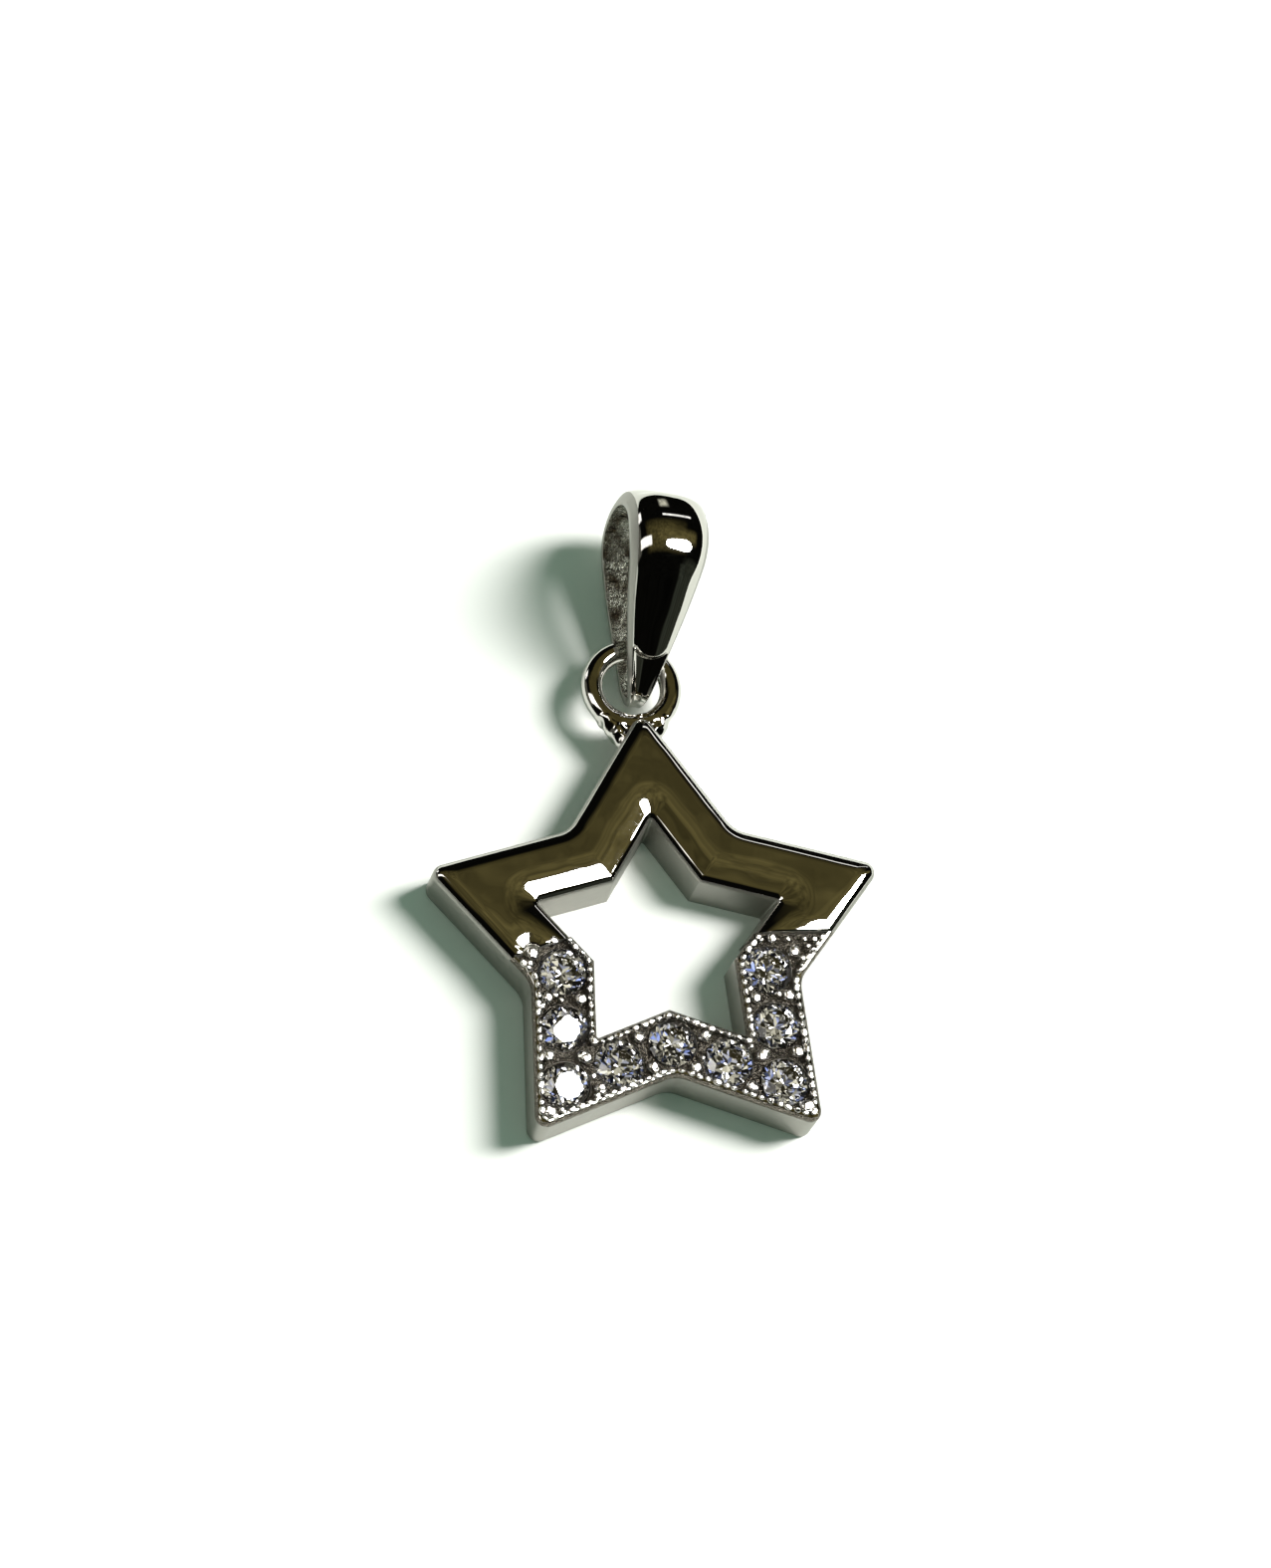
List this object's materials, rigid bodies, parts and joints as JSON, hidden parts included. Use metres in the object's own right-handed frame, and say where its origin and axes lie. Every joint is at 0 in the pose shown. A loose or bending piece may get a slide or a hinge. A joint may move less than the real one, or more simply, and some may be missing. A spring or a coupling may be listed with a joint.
{
  "type": "star pendant",
  "caption": "Open five-pointed star pendant, half polished and half set with round clear stones, hung by a ring and a loose teardrop bail.",
  "frame": {"origin": "middle of the whole pendant on the surface it lies on, under the star's flat back", "axes": "+Y from the star to the bail, +Z out of the star's face, +X to the right seen from the face"},
  "size_m": [0.0132, 0.0196, 0.0042],
  "materials": {
    "silver": "rhodium-plated silver, mirror polished",
    "stone": "clear faceted cubic zirconia"
  },
  "bodies": {
    "root": {"star_frame": "silver", "bail": "silver", "stone_1": "stone", "stone_2": "stone", "stone_3": "stone", "stone_4": "stone", "stone_5": "stone", "stone_6": "stone", "stone_7": "stone", "stone_8": "stone", "stone_9": "stone"}
  },
  "joints": []
}
